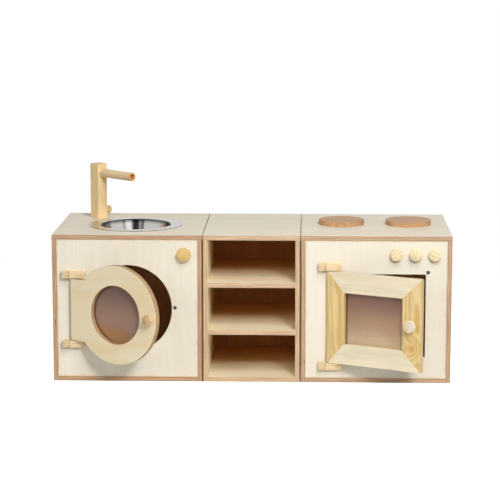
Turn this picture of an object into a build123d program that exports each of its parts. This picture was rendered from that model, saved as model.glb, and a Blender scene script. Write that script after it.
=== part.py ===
from build123d import *
import os
from math import cos, radians, sin

# Cabinets: birch plywood boxes side by side, front towards -Y, standing on z = 0
PLY = 15.0
FRONT_PLY = 12.0
BACK_PLY = 9.0
HEIGHT = 446.0
DEPTH = 450.0
WASHER_WIDTH = 450.0
SHELF_WIDTH = 292.0
OVEN_WIDTH = 450.0
CABINET_GAP = 0.8
FRONT_RECESS = 2.0
EDGE_ROUND = 1.2
SHELVES = ("lower_shelf", "upper_shelf")

# Dowels that join the boards, two to a joint
DOWEL_R = 4.0
DOWEL_PLAY = 0.05
DOWEL_IN_EDGE = 21.0
DOWEL_SKIN = 6.0
DOWEL_END_PLAY = 0.5
DOWEL_FROM_FRONT = 60.0
DOWEL_FROM_BACK = 60.0

# Sink bowl of spun steel, hung by its rim in the counter
SINK_RIM_R = 143.5
SINK_RIGHT = 8.0
SINK_FORWARD = 16.0
SINK_MOUTH_R = 109.0
SINK_FLOOR_R = 68.0
SINK_DEPTH = 88.0
SINK_SHEET = 1.2
SINK_RIM_RISE = 1.8
SINK_HOLE_PLAY = 6.0
SINK_FLOOR_ROUND = 22.0
SINK_RIM_ROUND = 5.0

# Tap: a square post that turns on a headed dowel, a round spout and a turning handle
TAP_LEFT_OF_SINK = 129.5
TAP_BEHIND_SINK = 148.0
TAP_TURN = 45.0
POST_SIDE = 36.5
POST_HEIGHT = 172.0
POST_CHAMFER = 1.5
POST_FLOAT = 0.3
SPOUT_R = 13.2
SPOUT_REACH = 166.0
SPOUT_BELOW_TOP = 28.5
SPOUT_SOCKET = 24.0
SPOUT_BORE_R = 8.0
SPOUT_BORE_DEPTH = 14.0
HANDLE_R = 13.0
HANDLE_LENGTH = 27.0
HANDLE_FOOT_INSET = 5.0
HANDLE_WAIST = 7.0
HANDLE_CROWN = 3.0
HANDLE_ROUND = 3.0
HANDLE_ABOVE_COUNTER = 22.0
HANDLE_SPINDLE_R = 4.0
HANDLE_SPINDLE_IN_POST = 10.0
HANDLE_SPINDLE_IN_HANDLE = 18.0
TAP_DOWEL_R = 8.0
TAP_DOWEL_IN_POST = 40.0
TAP_HEAD_R = 15.0
TAP_HEAD_THICKNESS = 7.0

# Doors: both open in the photograph, each turning on two steel pins
DOOR_PLY = 18.0
DOOR_GAP = 1.0
DOOR_ROUND = 1.5
WASHER_OPEN = 31.0
OVEN_OPEN = 26.5
PANE = 3.0
PANE_PLAY = 0.5
PANE_LAP = 9.0
PIN_R = 3.0
PIN_PLAY = 0.06
PIN_IN_DOOR = 18.0
PIN_IN_ARM = 16.0
KNOB_NECK_SHARE = 0.55
KNOB_LENGTH_SHARE = 1.3
KNOB_CROWN = 3.0
KNOB_ROUND = 4.0

# Washing machine front and door
WASHER_MOUTH_BELOW_MIDDLE = 1.5
WASHER_HINGE_FROM_SIDE = 49.0
WASHER_HINGE_TAB = 13.0
WASHER_DOOR_LAP = 14.5
WASHER_DOOR_RING = 60.0
WASHER_TAB_INSET = 55.0
WASHER_KNOB_R = 16.5
WASHER_KNOB_OUTWARD = 8.5

# Oven front and door
OVEN_MOUTH_WIDTH = 275.0
OVEN_MOUTH_ABOVE_FLOOR = 79.5
OVEN_MOUTH_BELOW_DIALS = 60.0
OVEN_MOUTH_RIGHT = 10.0
OVEN_DOOR_WIDTH = 309.0
OVEN_DOOR_ABOVE_MOUTH = 10.5
OVEN_DOOR_BELOW_MOUTH = 14.5
OVEN_RAIL = 60.0
OVEN_HINGE_LEFT = 11.0
OVEN_KNOB_R = 18.0

# Hinge blocks and arms, fixed on the front panels above and below each door
ARM_HEIGHT = 20.5
ARM_LENGTH = 48.0
ARM_BEFORE_AXIS = 12.0
ARM_CLEAR = 2.0
BLOCK_LENGTH = 21.0
BLOCK_GAP = 0.8
PLUG_R = 5.0
PLUG_PROUD = 1.5
PLUG_IN_PANEL = 7.0

# Magnetic catches
MAGNET_R = 5.5
MAGNET_THICKNESS = 4.0
MAGNET_PLAY = 0.1
CATCH_SCREW_R = 1.5
CATCH_HEAD_R = 3.0
CATCH_SCREW_LENGTH = 10.0
CATCH_SLOT = 0.8
CATCH_SLOT_DEPTH = 0.9
CATCH_SLOT_LENGTH = 4.0
WASHER_CATCH_FROM_RIM = 5.5
WASHER_CATCH_RISE = 4.0
OVEN_CATCH_FROM_EDGE = 7.5
OVEN_CATCH_FROM_TOP = 5.0
STRIKE_R = 4.5
STRIKE_THICKNESS = 1.6

# Turning dials on the fronts, each on a headed spindle
WASHER_DIAL_R = 21.0
WASHER_DIAL_FROM_SIDE = 54.5
WASHER_DIAL_BELOW_TOP = 58.0
OVEN_DIAL_R = 19.0
OVEN_DIAL_MIDDLE = 116.0
OVEN_DIAL_PITCH = 57.0
OVEN_DIAL_BELOW_TOP = 55.0
DIAL_LENGTH = 21.0
DIAL_FOOT_INSET = 3.0
DIAL_WAIST = 6.0
DIAL_CROWN = 4.0
DIAL_ROUND = 4.0
DIAL_FLOAT = 0.5
SPINDLE_R = 5.0
SPINDLE_PLAY = 0.08
SPINDLE_IN_DIAL = 13.0
SPINDLE_HEAD_R = 9.0
SPINDLE_HEAD_THICKNESS = 5.0

# Hob discs
HOB_R = 69.5
HOB_THICKNESS = 15.0
HOB_SPREAD = 103.0
HOB_RIGHT = 2.0
HOB_BEHIND_MIDDLE = 15.0
HOB_DOWEL_SPREAD = 35.0

GLUE_PLAY = 0.05
TENON_R = 5.0
TENON_LENGTH = 11.0

# Places that follow from the sizes above
FRONT_Y = -DEPTH / 2
BACK_Y = DEPTH / 2
PANEL_Y = FRONT_Y + FRONT_RECESS
INNER_Y = PANEL_Y + FRONT_PLY
COUNTER_UNDER = HEIGHT - PLY
WASHER_X = -(SHELF_WIDTH + WASHER_WIDTH) / 2 - CABINET_GAP
OVEN_X = (SHELF_WIDTH + OVEN_WIDTH) / 2 + CABINET_GAP
DOWEL_IN_FACE = PLY - DOWEL_SKIN
DOWEL_YS = (FRONT_Y + DOWEL_FROM_FRONT, BACK_Y - DOWEL_FROM_BACK)
BAY = (COUNTER_UNDER - PLY - len(SHELVES) * PLY) / (len(SHELVES) + 1)
SHELF_ZS = [PLY + (i + 1) * BAY + i * PLY + PLY / 2 for i in range(len(SHELVES))]
AXIS_Y = PANEL_Y - DOOR_GAP - DOOR_PLY / 2
ARM_DEPTH = DOOR_GAP + DOOR_PLY

WASHER_HINGE_REACH = WASHER_WIDTH / 2 - PLY - WASHER_HINGE_FROM_SIDE
WASHER_DOOR_R = WASHER_HINGE_REACH - WASHER_HINGE_TAB
WASHER_MOUTH_R = WASHER_DOOR_R - WASHER_DOOR_LAP
WASHER_TAB_HEIGHT = 2 * (WASHER_DOOR_R - WASHER_TAB_INSET)
WASHER_WINDOW_R = WASHER_DOOR_R - WASHER_DOOR_RING
WASHER_MOUTH_Z = HEIGHT / 2 - WASHER_MOUTH_BELOW_MIDDLE
WASHER_AXIS_X = WASHER_X - WASHER_HINGE_REACH
WASHER_DIAL_X = WASHER_X + WASHER_WIDTH / 2 - WASHER_DIAL_FROM_SIDE
WASHER_DIAL_Z = HEIGHT - WASHER_DIAL_BELOW_TOP

OVEN_DIAL_Z = HEIGHT - OVEN_DIAL_BELOW_TOP
OVEN_MOUTH_TOP = OVEN_DIAL_Z - OVEN_MOUTH_BELOW_DIALS
OVEN_MOUTH_HEIGHT = OVEN_MOUTH_TOP - OVEN_MOUTH_ABOVE_FLOOR
OVEN_MOUTH_Z = (OVEN_MOUTH_TOP + OVEN_MOUTH_ABOVE_FLOOR) / 2
OVEN_DOOR_HEIGHT = OVEN_MOUTH_HEIGHT + OVEN_DOOR_ABOVE_MOUTH + OVEN_DOOR_BELOW_MOUTH
OVEN_DOOR_Z = OVEN_MOUTH_Z + (OVEN_DOOR_ABOVE_MOUTH - OVEN_DOOR_BELOW_MOUTH) / 2
OVEN_MOUTH_X = OVEN_X + OVEN_MOUTH_RIGHT
HOB_X = OVEN_X + HOB_RIGHT
OVEN_AXIS_X = OVEN_MOUTH_X - OVEN_MOUTH_WIDTH / 2 - OVEN_HINGE_LEFT
OVEN_DOOR_EDGE = OVEN_DOOR_WIDTH - DOOR_PLY / 2


def swung_plane(axis_x, axis_z, opening):
    """The middle plane of a door, x from its hinge axis to its free edge, z out of its front."""
    turn = radians(opening)
    along = (cos(turn), -sin(turn), 0)
    outward = (-sin(turn), -cos(turn), 0)
    return Plane(origin=(axis_x, AXIS_Y, axis_z), x_dir=along, z_dir=outward)


WASHER_DOOR = swung_plane(WASHER_AXIS_X, WASHER_MOUTH_Z, WASHER_OPEN)
OVEN_DOOR = swung_plane(OVEN_AXIS_X, OVEN_DOOR_Z, OVEN_OPEN)
SINK_X = WASHER_X + SINK_RIGHT
SINK_Y = -SINK_FORWARD
TAP = Plane(
    origin=(SINK_X - TAP_LEFT_OF_SINK, SINK_Y + TAP_BEHIND_SINK, HEIGHT),
    x_dir=(sin(radians(TAP_TURN)), -cos(radians(TAP_TURN)), 0),
    z_dir=(0, 0, 1),
)
WASHER_CATCH = WASHER_DOOR_R - WASHER_CATCH_FROM_RIM
WASHER_CATCH_Z = WASHER_MOUTH_Z + WASHER_CATCH_RISE
OVEN_CATCH_X = OVEN_AXIS_X + OVEN_DOOR_EDGE - OVEN_CATCH_FROM_EDGE
OVEN_CATCH_Z = OVEN_DOOR_Z + OVEN_DOOR_HEIGHT / 2 - OVEN_CATCH_FROM_TOP

dowel_places = []
hob_places = []


def keep(builder, name):
    """Name the finished piece and write its STEP file."""
    builder.part.label = name
    export_step(builder.part, f"parts/{name}.step")


def face_on(plane, x=0.0, y=0.0, out=0.0, facing=1):
    """A plane at a point of another, looking along its normal or against it."""
    spot = plane.from_local_coords(Vector(x, y, out))
    return Plane(origin=spot, x_dir=plane.x_dir, z_dir=plane.z_dir * facing)


def board(x, y, z):
    """Add a board that fills the three ranges."""
    middle = [(low + high) / 2 for low, high in (x, y, z)]
    with Locations(tuple(middle)):
        Box(x[1] - x[0], y[1] - y[0], z[1] - z[0])


def drill(planes, radius, depth):
    """Bore blind holes into the piece, each against the normal of its plane."""
    with Locations(*planes):
        Hole(radius, depth)


def rod(plane, radius, length):
    """Add a round rod that starts on a plane and runs along its normal."""
    with Locations(plane):
        Cylinder(radius, length, align=(Align.CENTER, Align.CENTER, Align.MIN))


def turned(plane, outline, rounds=()):
    """Add a turned piece: an outline of (radius, height) points about the plane's normal."""
    side = Plane(origin=plane.origin, x_dir=plane.x_dir, z_dir=-plane.y_dir)
    with BuildSketch(side) as profile:
        with BuildLine():
            Polyline(*outline, close=True)
        make_face()
        for corner, size in rounds:
            fillet(profile.vertices().sort_by_distance((*corner, 0))[0], size)
    revolve(profile.sketch, axis=Axis(plane.origin, plane.z_dir))


def round_hinge_edge(plane, height):
    """Add the half-round edge of a door about its hinge axis."""
    low = plane.from_local_coords(Vector(0, -height / 2, 0))
    with BuildSketch(Plane(origin=low, x_dir=plane.x_dir, z_dir=(0, 0, 1))) as nose:
        with BuildLine():
            CenterArc((0, 0), DOOR_PLY / 2, 90, 180)
            Line((0, -DOOR_PLY / 2), (0, DOOR_PLY / 2))
        make_face()
    extrude(nose.sketch, amount=height)


def ease(edges):
    """Round the touched edges of a board."""
    fillet(edges, EDGE_ROUND)


def top_joints(x_sides):
    """Joint planes between a counter and the upper ends of its sides, looking up."""
    return [
        Plane(origin=(x, y, COUNTER_UNDER), z_dir=(0, 0, 1))
        for x in x_sides
        for y in DOWEL_YS
    ]


def level_joints(x_face, z, outward):
    """Joint planes between a level board's end and a side's inner face, looking at the side."""
    return [Plane(origin=(x_face, y, z), z_dir=(outward, 0, 0)) for y in DOWEL_YS]


def flip(planes):
    """The same planes, looking the other way."""
    return [Plane(origin=plane.origin, z_dir=-plane.z_dir) for plane in planes]


def dowel_depth(joint):
    """How far a dowel goes into the edge board, or into a hob disc."""
    if joint in hob_places:
        return HOB_THICKNESS - DOWEL_SKIN
    return DOWEL_IN_EDGE


def bore_faces(planes):
    """Dowel holes in the face that the joint planes look at."""
    drill(flip(planes), DOWEL_R + DOWEL_PLAY, DOWEL_IN_FACE)


def bore_edges(planes):
    """Dowel holes in the edge that the joint planes leave."""
    drill(planes, DOWEL_R + DOWEL_PLAY, DOWEL_IN_EDGE)


def make_carcass(name, x, width, levels):
    """Sides, bottom and back of one cabinet; levels are the heights of its level boards."""
    left = x - width / 2
    right = x + width / 2
    tops = top_joints((left + PLY / 2, right - PLY / 2))
    dowel_places.extend(tops)
    for word, inner, outward in (("left", left + PLY, -1), ("right", right - PLY, 1)):
        joints = [p for z in levels for p in level_joints(inner, z, outward)]
        dowel_places.extend(joints)
        outer = inner + outward * PLY
        with BuildPart() as side:
            board((min(inner, outer), max(inner, outer)), (FRONT_Y, BACK_Y), (0, COUNTER_UNDER))
            ease(side.edges().filter_by(Axis.Z).group_by(Axis.Y)[0])
            bore_faces(joints)
            bore_edges([p for p in tops if (p.origin.X - x) * outward > 0])
        keep(side, f"{name}_{word}_side")

    for z, word in levels.items():
        front = FRONT_Y if z == min(levels) else FRONT_Y + FRONT_RECESS
        back = BACK_Y if z == min(levels) else BACK_Y - BACK_PLY
        with BuildPart() as level:
            board((left + PLY, right - PLY), (front, back), (z - PLY / 2, z + PLY / 2))
            ease(level.edges().filter_by(Axis.X).group_by(Axis.Y)[0])
            bore_edges(level_joints(left + PLY, z, -1) + level_joints(right - PLY, z, 1))
        keep(level, word)

    with BuildPart() as back:
        board((left + PLY, right - PLY), (BACK_Y - BACK_PLY, BACK_Y), (PLY, COUNTER_UNDER))
    keep(back, f"{name}_back")
    return tops


def start_counter(x, width):
    """The counter board of one cabinet, laid over its sides."""
    board((x - width / 2, x + width / 2), (FRONT_Y, BACK_Y), (COUNTER_UNDER, HEIGHT))


def ease_counter(counter):
    """Round a counter's upper rim and its front lower edge."""
    rim = counter.faces().sort_by(Axis.Z)[-1].outer_wire().edges()
    lower = counter.edges().filter_by(Axis.X).group_by(Axis.Z)[0].sort_by(Axis.Y)[0]
    ease(rim + [lower])


def make_dial(name, x, z, radius):
    """A dial on a headed spindle that runs in the front panel."""
    face = Plane(origin=(x, PANEL_Y, z), x_dir=(1, 0, 0), z_dir=(0, -1, 0))
    foot = DIAL_FLOAT
    tip = foot + DIAL_LENGTH
    outline = [
        (0, foot),
        (radius - DIAL_FOOT_INSET, foot),
        (radius, foot + DIAL_WAIST),
        (radius, tip - DIAL_CROWN),
        (0, tip),
    ]
    with BuildPart() as dial:
        turned(face, outline, [(outline[2], DIAL_ROUND), (outline[3], DIAL_ROUND)])
        drill([face_on(face, out=foot, facing=-1)], SPINDLE_R + GLUE_PLAY, SPINDLE_IN_DIAL)
    keep(dial, name)

    shank = foot + SPINDLE_IN_DIAL - DOWEL_END_PLAY
    behind = -FRONT_PLY - DIAL_FLOAT
    with BuildPart() as spindle:
        rod(face_on(face, out=behind), SPINDLE_R, shank - behind)
        rod(face_on(face, out=behind, facing=-1), SPINDLE_HEAD_R, SPINDLE_HEAD_THICKNESS)
    keep(spindle, f"{name}_spindle")


def bore_for_dial(x, z):
    """The running hole of a dial's spindle in its front panel."""
    face = Plane(origin=(x, PANEL_Y, z), z_dir=(0, -1, 0))
    drill([face], SPINDLE_R + SPINDLE_PLAY, 2 * FRONT_PLY)


def bore_for_catch(x, z):
    """The pocket of a catch magnet and the hole of its screw in a front panel."""
    face = Plane(origin=(x, PANEL_Y, z), z_dir=(0, -1, 0))
    drill([face], MAGNET_R + MAGNET_PLAY, MAGNET_THICKNESS)
    drill([face], CATCH_SCREW_R + GLUE_PLAY, CATCH_SCREW_LENGTH + DOWEL_END_PLAY)


def arm_place(axis_x, door_z, door_height, word):
    """The left lower corner of an arm above or below a door, on its front panel."""
    if word == "upper":
        return (axis_x - ARM_BEFORE_AXIS, door_z + door_height / 2 + ARM_CLEAR)
    return (axis_x - ARM_BEFORE_AXIS, door_z - door_height / 2 - ARM_CLEAR - ARM_HEIGHT)


def plug_plane(axis_x, door_z, door_height, word):
    """The front panel's plane at the middle of an arm's round end."""
    x, z = arm_place(axis_x, door_z, door_height, word)
    spot = (x + ARM_LENGTH - ARM_HEIGHT / 2, PANEL_Y, z + ARM_HEIGHT / 2)
    return Plane(origin=spot, x_dir=(1, 0, 0), z_dir=(0, -1, 0))


def bore_for_plugs(hinge):
    """The holes of the two arm plugs of a door in its front panel."""
    planes = [plug_plane(*hinge, word) for word in ("upper", "lower")]
    drill(planes, PLUG_R + GLUE_PLAY, PLUG_IN_PANEL + DOWEL_END_PLAY)


def make_hinge(name, axis_x, door_z, door_height):
    """Blocks, arms, plugs and pins above and below one door."""
    for word in ("upper", "lower"):
        x, z = arm_place(axis_x, door_z, door_height, word)
        up = 1 if word == "upper" else -1
        plug = plug_plane(axis_x, door_z, door_height, word)
        bottom = Plane(
            origin=(axis_x, AXIS_Y, door_z + up * (door_height / 2 + ARM_CLEAR)), z_dir=(0, 0, -up)
        )
        with BuildPart() as arm:
            with BuildSketch(plug):
                Circle(ARM_HEIGHT / 2)
                with Locations((ARM_HEIGHT / 2 - ARM_LENGTH, 0)):
                    straight = ARM_LENGTH - ARM_HEIGHT / 2
                    Rectangle(straight, ARM_HEIGHT, align=(Align.MIN, Align.CENTER))
            extrude(amount=ARM_DEPTH)
            fillet(arm.faces().sort_by(Axis.Y)[0].edges(), EDGE_ROUND)
            drill([bottom], PIN_R + GLUE_PLAY, PIN_IN_ARM + DOWEL_END_PLAY)
            drill([face_on(plug, out=ARM_DEPTH)], PLUG_R + GLUE_PLAY, 2 * ARM_DEPTH)
        keep(arm, f"{name}_{word}_hinge_arm")

        with BuildPart() as block:
            board(
                (x - BLOCK_GAP - BLOCK_LENGTH, x - BLOCK_GAP),
                (PANEL_Y - ARM_DEPTH, PANEL_Y),
                (z, z + ARM_HEIGHT),
            )
            fillet(block.faces().sort_by(Axis.Y)[0].edges(), EDGE_ROUND)
        keep(block, f"{name}_{word}_hinge_block")


def make_hinge_fasteners(hinges):
    """The plugs through the arms and the pins between arms and doors."""
    with BuildPart() as plugs:
        for hinge in hinges:
            for word in ("upper", "lower"):
                plug = plug_plane(*hinge, word)
                rod(face_on(plug, out=-PLUG_IN_PANEL), PLUG_R, PLUG_IN_PANEL + ARM_DEPTH + PLUG_PROUD)
    keep(plugs, "hinge_plugs")

    with BuildPart() as pins:
        for axis_x, door_z, door_height in hinges:
            for up in (1, -1):
                inner = door_z + up * (door_height / 2 - PIN_IN_DOOR + DOWEL_END_PLAY)
                start = Plane(origin=(axis_x, AXIS_Y, inner), z_dir=(0, 0, up))
                rod(start, PIN_R, PIN_IN_DOOR + ARM_CLEAR + PIN_IN_ARM - DOWEL_END_PLAY)
    keep(pins, "hinge_pins")


def bore_for_pin(plane, height, up):
    """The running hole of a hinge pin in a door's upper or lower edge."""
    edge = plane.from_local_coords(Vector(0, up * height / 2, 0))
    drill([Plane(origin=edge, z_dir=(0, 0, up))], PIN_R + PIN_PLAY, PIN_IN_DOOR)


def make_door_fittings(name, plane, knob_x, knob_r, strike):
    """The knob on a door's front and the steel strike in its back."""
    front = face_on(plane, x=knob_x, out=DOOR_PLY / 2)
    neck = knob_r * KNOB_NECK_SHARE
    head = knob_r * KNOB_LENGTH_SHARE
    outline = [
        (0, -TENON_LENGTH),
        (TENON_R, -TENON_LENGTH),
        (TENON_R, 0),
        (neck, 0),
        (knob_r, head / 2),
        (knob_r, head - KNOB_CROWN),
        (0, head),
    ]
    with BuildPart() as knob:
        turned(front, outline, [(outline[4], KNOB_ROUND), (outline[5], KNOB_ROUND)])
    keep(knob, f"{name}_door_knob")

    back = face_on(plane, x=strike[0], y=strike[1], out=-DOOR_PLY / 2)
    with BuildPart() as plate:
        rod(back, STRIKE_R, STRIKE_THICKNESS)
    keep(plate, f"{name}_door_strike")


def bore_for_knob(plane, knob_x):
    """The socket of a door's knob."""
    front = face_on(plane, x=knob_x, out=DOOR_PLY / 2)
    drill([front], TENON_R + GLUE_PLAY, TENON_LENGTH + DOWEL_END_PLAY)


def bore_for_strike(plane, x, y):
    """The pocket of a door's steel strike."""
    back = face_on(plane, x=x, y=y, out=-DOOR_PLY / 2, facing=-1)
    drill([back], STRIKE_R + MAGNET_PLAY, STRIKE_THICKNESS)


def make_washer_door():
    """A round plywood door with a straight hinge edge, its pane, knob and strike."""
    back = WASHER_DOOR.offset(-DOOR_PLY / 2)
    knob_x = WASHER_HINGE_REACH + (WASHER_WINDOW_R + WASHER_DOOR_R) / 2 + WASHER_KNOB_OUTWARD
    strike_x = WASHER_HINGE_REACH + WASHER_CATCH
    with BuildPart() as door:
        with BuildSketch(back):
            with Locations((WASHER_HINGE_REACH, 0)):
                Circle(WASHER_DOOR_R)
            Rectangle(WASHER_HINGE_REACH, WASHER_TAB_HEIGHT, align=(Align.MIN, Align.CENTER))
        extrude(amount=DOOR_PLY)
        round_hinge_edge(WASHER_DOOR, WASHER_TAB_HEIGHT)
        with BuildSketch(back):
            with Locations((WASHER_HINGE_REACH, 0)):
                Circle(WASHER_WINDOW_R)
        extrude(amount=DOOR_PLY, mode=Mode.SUBTRACT)
        with BuildSketch(back):
            with Locations((WASHER_HINGE_REACH, 0)):
                Circle(WASHER_WINDOW_R + PANE_LAP + PANE_PLAY)
        extrude(amount=PANE, mode=Mode.SUBTRACT)
        rims = door.edges().filter_by(GeomType.CIRCLE)
        wide = rims.filter_by(lambda e: e.radius in (WASHER_DOOR_R, WASHER_WINDOW_R))
        fillet(wide.filter_by(lambda e: WASHER_DOOR.to_local_coords(e.center()).Z > 0), DOOR_ROUND)
        bore_for_knob(WASHER_DOOR, knob_x)
        bore_for_strike(WASHER_DOOR, strike_x, WASHER_CATCH_RISE)
        for up in (1, -1):
            bore_for_pin(WASHER_DOOR, WASHER_TAB_HEIGHT, up)
    keep(door, "washer_door")

    with BuildPart() as pane:
        rod(face_on(back, x=WASHER_HINGE_REACH), WASHER_WINDOW_R + PANE_LAP, PANE)
    keep(pane, "washer_door_pane")
    make_door_fittings("washer", WASHER_DOOR, knob_x, WASHER_KNOB_R, (strike_x, WASHER_CATCH_RISE))


def make_oven_door():
    """Four mitred rails round a pane, with a knob and a strike."""
    back = OVEN_DOOR.offset(-DOOR_PLY / 2)
    high = OVEN_DOOR_HEIGHT / 2
    inner_high = high - OVEN_RAIL
    inner_left = OVEN_RAIL - DOOR_PLY / 2
    inner_right = OVEN_DOOR_EDGE - OVEN_RAIL
    corners = {
        "left": [(0, -high), (0, high), (inner_left, inner_high), (inner_left, -inner_high)],
        "top": [(0, high), (OVEN_DOOR_EDGE, high), (inner_right, inner_high), (inner_left, inner_high)],
        "right": [
            (OVEN_DOOR_EDGE, high),
            (OVEN_DOOR_EDGE, -high),
            (inner_right, -inner_high),
            (inner_right, inner_high),
        ],
        "bottom": [
            (OVEN_DOOR_EDGE, -high),
            (0, -high),
            (inner_left, -inner_high),
            (inner_right, -inner_high),
        ],
    }
    middle_x = (inner_left + inner_right) / 2
    pane_width = inner_right - inner_left + 2 * PANE_LAP
    pane_height = 2 * inner_high + 2 * PANE_LAP
    knob_x = OVEN_DOOR_EDGE - OVEN_RAIL / 2
    strike = (OVEN_CATCH_X - OVEN_AXIS_X, OVEN_CATCH_Z - OVEN_DOOR_Z)
    for word, points in corners.items():
        with BuildPart() as rail:
            with BuildSketch(back):
                with BuildLine():
                    Polyline(*points, close=True)
                make_face()
            extrude(amount=DOOR_PLY)
            if word == "left":
                round_hinge_edge(OVEN_DOOR, OVEN_DOOR_HEIGHT)
                for up in (1, -1):
                    bore_for_pin(OVEN_DOOR, OVEN_DOOR_HEIGHT, up)
            elif word in ("top", "bottom"):
                up = 1 if word == "top" else -1
                bore_for_pin(OVEN_DOOR, OVEN_DOOR_HEIGHT, up)
            with BuildSketch(back):
                with Locations((middle_x, 0)):
                    Rectangle(pane_width + 2 * PANE_PLAY, pane_height + 2 * PANE_PLAY)
            extrude(amount=PANE, mode=Mode.SUBTRACT)
            if word == "right":
                bore_for_knob(OVEN_DOOR, knob_x)
            if word in ("right", "top"):
                bore_for_strike(OVEN_DOOR, *strike)
        keep(rail, f"oven_door_{word}_rail")

    with BuildPart() as pane:
        with BuildSketch(back):
            with Locations((middle_x, 0)):
                Rectangle(pane_width, pane_height)
        extrude(amount=PANE)
    keep(pane, "oven_door_pane")
    make_door_fittings("oven", OVEN_DOOR, knob_x, OVEN_KNOB_R, strike)


def make_washer_fronts():
    """The washing machine's counter, front panel and dial."""
    tops = make_carcass("washer", WASHER_X, WASHER_WIDTH, {PLY / 2: "washer_bottom"})
    tap_hole = Plane(origin=TAP.origin, z_dir=(0, 0, 1))
    with BuildPart() as counter:
        start_counter(WASHER_X, WASHER_WIDTH)
        ease_counter(counter)
        bore_faces(tops)
        sink = Plane(origin=(SINK_X, SINK_Y, HEIGHT), z_dir=(0, 0, 1))
        drill([sink], SINK_MOUTH_R + SINK_HOLE_PLAY, 2 * PLY)
        drill([tap_hole], TAP_DOWEL_R + SPINDLE_PLAY, 2 * PLY)
    keep(counter, "washer_counter")

    inner = WASHER_WIDTH / 2 - PLY
    hinge = (WASHER_AXIS_X, WASHER_MOUTH_Z, WASHER_TAB_HEIGHT)
    with BuildPart() as front:
        board((WASHER_X - inner, WASHER_X + inner), (PANEL_Y, INNER_Y), (PLY, COUNTER_UNDER))
        drill([Plane(origin=(WASHER_X, PANEL_Y, WASHER_MOUTH_Z), z_dir=(0, -1, 0))],
              WASHER_MOUTH_R, 2 * FRONT_PLY)
        bore_for_dial(WASHER_DIAL_X, WASHER_DIAL_Z)
        bore_for_catch(WASHER_X + WASHER_CATCH, WASHER_CATCH_Z)
        bore_for_plugs(hinge)
    keep(front, "washer_front")
    make_dial("washer_dial", WASHER_DIAL_X, WASHER_DIAL_Z, WASHER_DIAL_R)
    make_hinge("washer", *hinge)
    return hinge


def make_shelf_unit():
    """The open shelf unit between the two machines."""
    levels = {PLY / 2: "shelf_bottom", **dict(zip(SHELF_ZS, SHELVES))}
    tops = make_carcass("shelf", 0, SHELF_WIDTH, levels)
    with BuildPart() as counter:
        start_counter(0, SHELF_WIDTH)
        ease_counter(counter)
        bore_faces(tops)
    keep(counter, "shelf_counter")


def make_oven_fronts():
    """The oven's counter, front panel and dials."""
    tops = make_carcass("oven", OVEN_X, OVEN_WIDTH, {PLY / 2: "oven_bottom"})
    hob_joints = [
        Plane(origin=(HOB_X + side * HOB_SPREAD + step * HOB_DOWEL_SPREAD, HOB_BEHIND_MIDDLE, HEIGHT),
              z_dir=(0, 0, -1))
        for side in (-1, 1)
        for step in (-1, 1)
    ]
    hob_places.extend(hob_joints)
    dowel_places.extend(hob_joints)
    with BuildPart() as counter:
        start_counter(OVEN_X, OVEN_WIDTH)
        ease_counter(counter)
        bore_faces(tops)
        bore_faces(hob_joints)
    keep(counter, "oven_counter")

    for word, side in (("left", -1), ("right", 1)):
        x = HOB_X + side * HOB_SPREAD
        with BuildPart() as disc:
            rod(Plane(origin=(x, HOB_BEHIND_MIDDLE, HEIGHT), z_dir=(0, 0, 1)), HOB_R, HOB_THICKNESS)
            fillet(disc.edges().filter_by(GeomType.CIRCLE).sort_by(Axis.Z)[-1], EDGE_ROUND)
            drill([p for p in hob_joints if (p.origin.X - HOB_X) * side > 0],
                  DOWEL_R + DOWEL_PLAY, HOB_THICKNESS - DOWEL_SKIN)
        keep(disc, f"{word}_hob_disc")

    inner = OVEN_WIDTH / 2 - PLY
    hinge = (OVEN_AXIS_X, OVEN_DOOR_Z, OVEN_DOOR_HEIGHT)
    dial_xs = [OVEN_X + OVEN_DIAL_MIDDLE + step * OVEN_DIAL_PITCH for step in (-1, 0, 1)]
    with BuildPart() as front:
        board((OVEN_X - inner, OVEN_X + inner), (PANEL_Y, INNER_Y), (PLY, COUNTER_UNDER))
        with Locations((OVEN_MOUTH_X, (PANEL_Y + INNER_Y) / 2, OVEN_MOUTH_Z)):
            Box(OVEN_MOUTH_WIDTH, 2 * FRONT_PLY, OVEN_MOUTH_HEIGHT, mode=Mode.SUBTRACT)
        for x in dial_xs:
            bore_for_dial(x, OVEN_DIAL_Z)
        bore_for_catch(OVEN_CATCH_X, OVEN_CATCH_Z)
        bore_for_plugs(hinge)
    keep(front, "oven_front")
    for word, x in zip(("left", "middle", "right"), dial_xs):
        make_dial(f"oven_{word}_dial", x, OVEN_DIAL_Z, OVEN_DIAL_R)
    make_hinge("oven", *hinge)
    return hinge


def make_sink():
    """The steel bowl: a sloping wall, a rounded floor edge and a wide flat rim."""
    counter = Plane(origin=(SINK_X, SINK_Y, HEIGHT), x_dir=(1, 0, 0), z_dir=(0, 0, 1))
    floor = -SINK_DEPTH
    outline = [
        (0, floor),
        (SINK_FLOOR_R, floor),
        (SINK_MOUTH_R, SINK_RIM_RISE),
        (SINK_RIM_R, SINK_SHEET),
        (SINK_RIM_R, 0),
        (SINK_MOUTH_R + SINK_SHEET, SINK_RIM_RISE - SINK_SHEET),
        (SINK_FLOOR_R + SINK_SHEET, floor - SINK_SHEET),
        (0, floor - SINK_SHEET),
    ]
    rounds = [
        (outline[1], SINK_FLOOR_ROUND),
        (outline[2], SINK_RIM_ROUND + SINK_SHEET),
        (outline[5], SINK_RIM_ROUND),
        (outline[6], SINK_FLOOR_ROUND + SINK_SHEET),
    ]
    with BuildPart() as bowl:
        turned(counter, outline, rounds)
    keep(bowl, "sink_bowl")


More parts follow.
